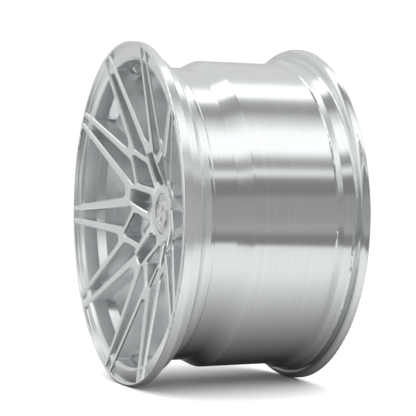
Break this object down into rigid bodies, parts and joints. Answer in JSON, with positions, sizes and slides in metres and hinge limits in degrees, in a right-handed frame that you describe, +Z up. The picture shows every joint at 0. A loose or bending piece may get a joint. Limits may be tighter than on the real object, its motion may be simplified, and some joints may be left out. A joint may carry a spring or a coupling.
{
  "type": "racing wheel rim",
  "caption": "Forged racing wheel rim with branching spokes, a wide brushed barrel, hub bore, lug seats, snap-in centre cap and clamp-in valve.",
  "frame": {"origin": "rim centre: on the wheel axis, half way between the two rim edges", "axes": "+Y along the wheel axis towards the vehicle, -Y out of the spoked face, +Z up as the wheel stands"},
  "size_m": [0.543, 0.2954, 0.543],
  "materials": {
    "centre_metal": "fine satin, machined faces",
    "barrel_metal": "fine circumferential brushing",
    "weld_metal": "satin weld bead",
    "seat_steel": "turned",
    "ring_polymer": "moulded",
    "cap_silver": "satin silver paint on moulded plastic",
    "emblem_metal": "polished relief",
    "pad_foam": "foam adhesive",
    "seal_rubber": "moulded rubber",
    "spring_steel": "drawn wire",
    "valve_metal": "satin turned",
    "core_brass": "turned"
  },
  "bodies": {
    "root": {"wheel_centre": "centre_metal", "barrel": "barrel_metal", "barrel_weld": "weld_metal", "lug_seat_inserts": "seat_steel", "hub_centric_ring": "ring_polymer", "valve_stem": "valve_metal", "valve_grommet": "seal_rubber", "valve_washer": "valve_metal", "valve_nut": "valve_metal", "valve_core_body": "core_brass", "valve_core_gasket": "seal_rubber", "valve_core_spring": "spring_steel"},
    "centre_cap": {"cap_body": "cap_silver", "cap_o_ring": "seal_rubber", "cap_retaining_ring": "spring_steel", "cap_emblem": "emblem_metal", "cap_emblem_pad": "pad_foam"},
    "valve_pin": {"valve_core_pin": "core_brass", "valve_core_cup_seal": "seal_rubber"},
    "valve_cap_travel": {"valve_cap_seal": "seal_rubber"},
    "valve_cap_shell": {"valve_cap": "valve_metal"}
  },
  "joints": [
    {"name": "centre_cap_pull", "type": "slide", "parent": "root", "child": "centre_cap", "axis": [0, -1, 0], "range_m": [0, 0.03]},
    {"name": "valve_pin_press", "type": "slide", "parent": "root", "child": "valve_pin", "axis": [0.0056, 0.8423, 0.539], "range_m": [0, 0.0012], "stiffness_N_per_m": 400},
    {"name": "valve_cap_lift", "type": "slide", "parent": "root", "child": "valve_cap_travel", "axis": [-0.0056, -0.8423, -0.539], "range_m": [0, 0.00476]},
    {"name": "valve_cap_turn", "type": "hinge", "parent": "valve_cap_travel", "child": "valve_cap_shell", "pos_m": [0.00254, -0.10535, 0.24286], "axis": [-0.0056, -0.8423, -0.539], "range_deg": [0, 2170]}
  ],
  "couplings": [
    {"joint": "valve_cap_turn", "follows": "valve_cap_lift", "rad_per_m": 7913.3}
  ]
}
